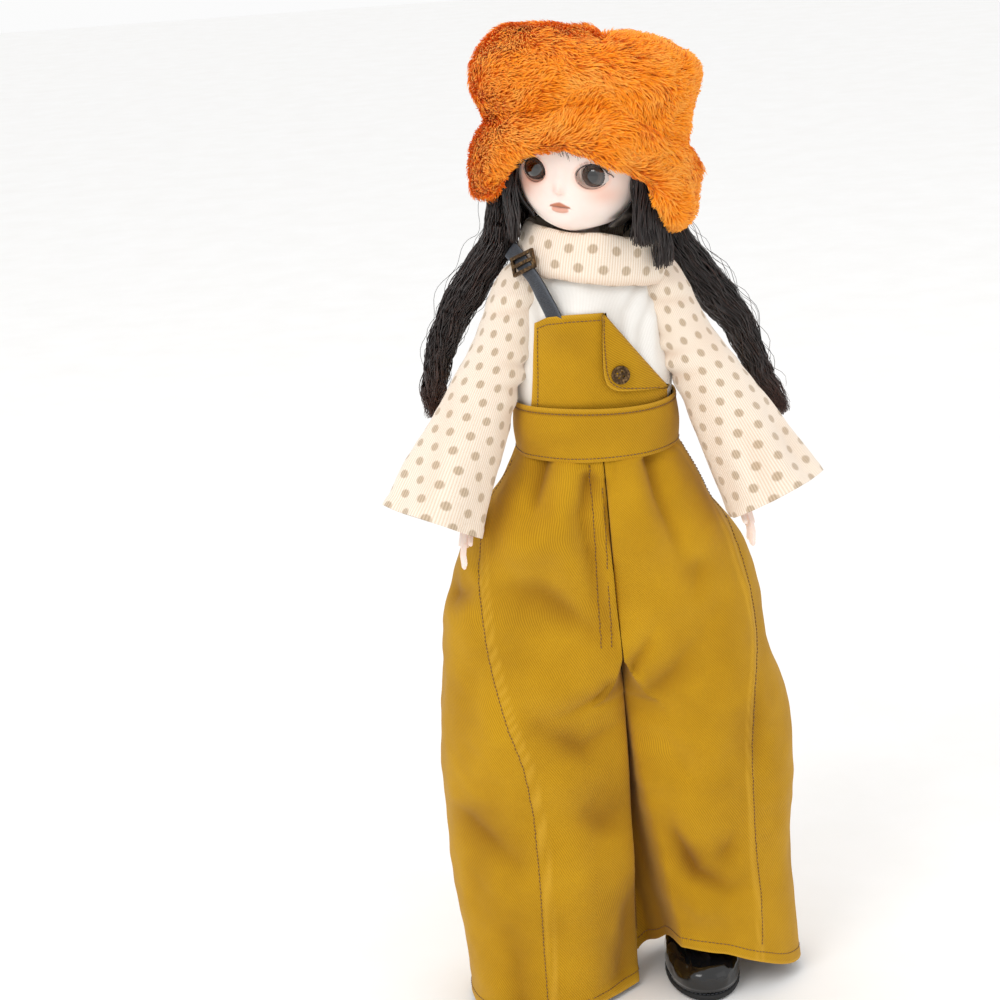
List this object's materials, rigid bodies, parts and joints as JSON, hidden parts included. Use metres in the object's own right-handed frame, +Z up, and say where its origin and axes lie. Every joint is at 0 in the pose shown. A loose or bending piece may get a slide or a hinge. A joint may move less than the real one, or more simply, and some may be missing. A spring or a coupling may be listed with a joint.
{
  "type": "ball jointed doll",
  "caption": "Ball jointed doll in a plush hat, bell-sleeved sweater, wide dungarees and glossy shoes; strung joints hold a pose and it stands on its soles.",
  "frame": {"origin": "on the floor under the middle of the doll's outline", "axes": "+Z up, the doll faces -Y and its own right side is -X"},
  "size_m": [0.1344, 0.0676, 0.3154],
  "materials": {
    "resin": "cast polyurethane resin, satin",
    "glass": "polished glass eye",
    "hair": "long synthetic fibre",
    "fur": "plush pile",
    "jersey": "fine jersey",
    "knit": "ribbed knit with printed dots",
    "twill": "cotton twill",
    "leather": "matt imitation leather",
    "bronze": "antique bronze",
    "patent": "patent",
    "rubber": "matt",
    "elastic": "woven cover",
    "steel": "wire"
  },
  "bodies": {
    "pelvis": {"pelvis": "resin", "trousers": "twill", "waistband": "twill", "elastic_legs": "elastic"},
    "waist_ball": {"waist_ball": "resin"},
    "chest": {"chest": "resin", "sweater_body": "jersey", "sweater_collar": "knit", "bib": "twill", "bib_lapel": "twill", "bib_button": "bronze", "strap": "leather", "strap_buckle": "bronze", "elastic_arms": "elastic", "hair_lock_right": "hair", "hair_lock_left": "hair"},
    "neck": {"neck": "resin"},
    "neck_hook": {"neck_hook": "steel"},
    "head": {"face_plate": "resin", "head_cap": "resin", "eye_right": "glass", "eye_left": "glass", "wig": "hair"},
    "hat": {"fur_hat": "fur"},
    "shoulder_ball_right": {"shoulder_ball_right": "resin"},
    "upper_arm_right": {"upper_arm_right": "resin", "sleeve_right": "knit"},
    "elbow_link_right": {"elbow_link_right": "resin"},
    "forearm_right": {"forearm_right": "resin"},
    "wrist_ball_right": {"wrist_ball_right": "resin"},
    "hand_right": {"hand_right": "resin"},
    "hip_ball_right": {"hip_ball_right": "resin"},
    "thigh_right": {"thigh_right": "resin"},
    "knee_link_right": {"knee_link_right": "resin"},
    "shin_right": {"shin_right": "resin"},
    "ankle_ball_right": {"ankle_ball_right": "resin"},
    "foot_right": {"foot_right": "resin", "shoe_upper_right": "patent", "shoe_sole_right": "rubber"},
    "shoulder_ball_left": {"shoulder_ball_left": "resin"},
    "upper_arm_left": {"upper_arm_left": "resin", "sleeve_left": "knit"},
    "elbow_link_left": {"elbow_link_left": "resin"},
    "forearm_left": {"forearm_left": "resin"},
    "wrist_ball_left": {"wrist_ball_left": "resin"},
    "hand_left": {"hand_left": "resin"},
    "hip_ball_left": {"hip_ball_left": "resin"},
    "thigh_left": {"thigh_left": "resin"},
    "knee_link_left": {"knee_link_left": "resin"},
    "shin_left": {"shin_left": "resin"},
    "ankle_ball_left": {"ankle_ball_left": "resin"},
    "foot_left": {"foot_left": "resin", "shoe_upper_left": "patent", "shoe_sole_left": "rubber"}
  },
  "joints": [
    {"name": "waist_bend", "type": "hinge", "parent": "pelvis", "child": "waist_ball", "pos_m": [0, 0.00244, 0.20569], "axis": [1, 0, 0], "range_deg": [-18, 10], "deforming": ["sweater_body", "trousers", "elastic_legs"]},
    {"name": "waist_twist", "type": "hinge", "parent": "waist_ball", "child": "chest", "pos_m": [0, 0.00244, 0.20569], "axis": [0, 0, 1], "range_deg": [-25, 25], "deforming": ["bib", "bib_lapel", "strap"]},
    {"name": "neck_lean", "type": "hinge", "parent": "chest", "child": "neck", "pos_m": [0, 0.00244, 0.24169], "axis": [0, 1, 0], "range_deg": [-15, 15], "deforming": ["sweater_collar", "hair_lock_right", "hair_lock_left"]},
    {"name": "head_turn", "type": "hinge", "parent": "neck", "child": "neck_hook", "pos_m": [0, 0.00244, 0.25869], "axis": [0.1736, 0, 0.9848], "range_deg": [-60, 60]},
    {"name": "head_nod", "type": "hinge", "parent": "neck_hook", "child": "head", "pos_m": [0, 0.00244, 0.25869], "axis": [0.9467, -0.2756, -0.1669], "range_deg": [-15, 15]},
    {"name": "hat_lift", "type": "slide", "parent": "head", "child": "hat", "axis": [0.1736, 0, 0.9848], "range_m": [0, 0.045]},
    {"name": "shoulder_swing_right", "type": "hinge", "parent": "chest", "child": "shoulder_ball_right", "pos_m": [-0.0215, 0.00244, 0.23169], "axis": [-1, 0, 0], "range_deg": [-40, 90]},
    {"name": "shoulder_raise_right", "type": "hinge", "parent": "shoulder_ball_right", "child": "upper_arm_right", "pos_m": [-0.0215, 0.00244, 0.23169], "axis": [0, 0.9659, -0.2588], "range_deg": [0, 80], "deforming": ["sleeve_right", "elastic_arms"]},
    {"name": "elbow_upper_right", "type": "hinge", "parent": "upper_arm_right", "child": "elbow_link_right", "pos_m": [-0.03115, -0.00573, 0.2012], "axis": [-0.9563, 0.0757, 0.2824], "range_deg": [0, 55]},
    {"name": "elbow_lower_right", "type": "hinge", "parent": "elbow_link_right", "child": "forearm_right", "pos_m": [-0.0332, -0.00746, 0.19474], "axis": [-0.9563, 0.0757, 0.2824], "range_deg": [0, 55]},
    {"name": "wrist_bend_right", "type": "hinge", "parent": "forearm_right", "child": "wrist_ball_right", "pos_m": [-0.04167, -0.01464, 0.16795], "axis": [0.9563, -0.0757, -0.2824], "range_deg": [-30, 30]},
    {"name": "wrist_turn_right", "type": "hinge", "parent": "wrist_ball_right", "child": "hand_right", "pos_m": [-0.04167, -0.01464, 0.16795], "axis": [0.2924, 0.2475, 0.9237], "range_deg": [-60, 60]},
    {"name": "hip_swing_right", "type": "hinge", "parent": "pelvis", "child": "hip_ball_right", "pos_m": [-0.016, 0.00244, 0.14969], "axis": [-1, 0, 0], "range_deg": [-15, 80]},
    {"name": "hip_spread_right", "type": "hinge", "parent": "hip_ball_right", "child": "thigh_right", "pos_m": [-0.016, 0.00244, 0.14969], "axis": [0, 1, 0], "range_deg": [-3, 40]},
    {"name": "knee_upper_right", "type": "hinge", "parent": "thigh_right", "child": "knee_link_right", "pos_m": [-0.02019, 0.00244, 0.08983], "axis": [0.9976, 0, -0.0698], "range_deg": [0, 55]},
    {"name": "knee_lower_right", "type": "hinge", "parent": "knee_link_right", "child": "shin_right", "pos_m": [-0.02081, 0.00244, 0.08085], "axis": [0.9976, 0, -0.0698], "range_deg": [0, 55]},
    {"name": "ankle_pitch_right", "type": "hinge", "parent": "shin_right", "child": "ankle_ball_right", "pos_m": [-0.025, 0.00244, 0.021], "axis": [1, 0, 0], "range_deg": [-20, 30]},
    {"name": "ankle_roll_right", "type": "hinge", "parent": "ankle_ball_right", "child": "foot_right", "pos_m": [-0.025, 0.00244, 0.021], "axis": [0, 1, 0], "range_deg": [-10, 10]},
    {"name": "shoulder_swing_left", "type": "hinge", "parent": "chest", "child": "shoulder_ball_left", "pos_m": [0.0215, 0.00244, 0.23169], "axis": [-1, 0, 0], "range_deg": [-40, 90]},
    {"name": "shoulder_raise_left", "type": "hinge", "parent": "shoulder_ball_left", "child": "upper_arm_left", "pos_m": [0.0215, 0.00244, 0.23169], "axis": [0, -0.9659, 0.2588], "range_deg": [0, 80], "deforming": ["sleeve_left"]},
    {"name": "elbow_upper_left", "type": "hinge", "parent": "upper_arm_left", "child": "elbow_link_left", "pos_m": [0.03115, -0.00573, 0.2012], "axis": [-0.9563, -0.0757, -0.2824], "range_deg": [0, 55]},
    {"name": "elbow_lower_left", "type": "hinge", "parent": "elbow_link_left", "child": "forearm_left", "pos_m": [0.0332, -0.00746, 0.19474], "axis": [-0.9563, -0.0757, -0.2824], "range_deg": [0, 55]},
    {"name": "wrist_bend_left", "type": "hinge", "parent": "forearm_left", "child": "wrist_ball_left", "pos_m": [0.04167, -0.01464, 0.16795], "axis": [0.9563, 0.0757, 0.2824], "range_deg": [-30, 30]},
    {"name": "wrist_turn_left", "type": "hinge", "parent": "wrist_ball_left", "child": "hand_left", "pos_m": [0.04167, -0.01464, 0.16795], "axis": [-0.2924, 0.2475, 0.9237], "range_deg": [-60, 60]},
    {"name": "hip_swing_left", "type": "hinge", "parent": "pelvis", "child": "hip_ball_left", "pos_m": [0.016, 0.00244, 0.14969], "axis": [-1, 0, 0], "range_deg": [-15, 80]},
    {"name": "hip_spread_left", "type": "hinge", "parent": "hip_ball_left", "child": "thigh_left", "pos_m": [0.016, 0.00244, 0.14969], "axis": [0, -1, 0], "range_deg": [-3, 40]},
    {"name": "knee_upper_left", "type": "hinge", "parent": "thigh_left", "child": "knee_link_left", "pos_m": [0.02019, 0.00244, 0.08983], "axis": [0.9976, 0, 0.0698], "range_deg": [0, 55]},
    {"name": "knee_lower_left", "type": "hinge", "parent": "knee_link_left", "child": "shin_left", "pos_m": [0.02081, 0.00244, 0.08085], "axis": [0.9976, 0, 0.0698], "range_deg": [0, 55]},
    {"name": "ankle_pitch_left", "type": "hinge", "parent": "shin_left", "child": "ankle_ball_left", "pos_m": [0.025, 0.00244, 0.021], "axis": [1, 0, 0], "range_deg": [-20, 30]},
    {"name": "ankle_roll_left", "type": "hinge", "parent": "ankle_ball_left", "child": "foot_left", "pos_m": [0.025, 0.00244, 0.021], "axis": [0, 1, 0], "range_deg": [-10, 10]}
  ],
  "couplings": [
    {"joint": "knee_lower_right", "follows": "knee_upper_right", "ratio": 1},
    {"joint": "knee_lower_left", "follows": "knee_upper_left", "ratio": 1}
  ]
}
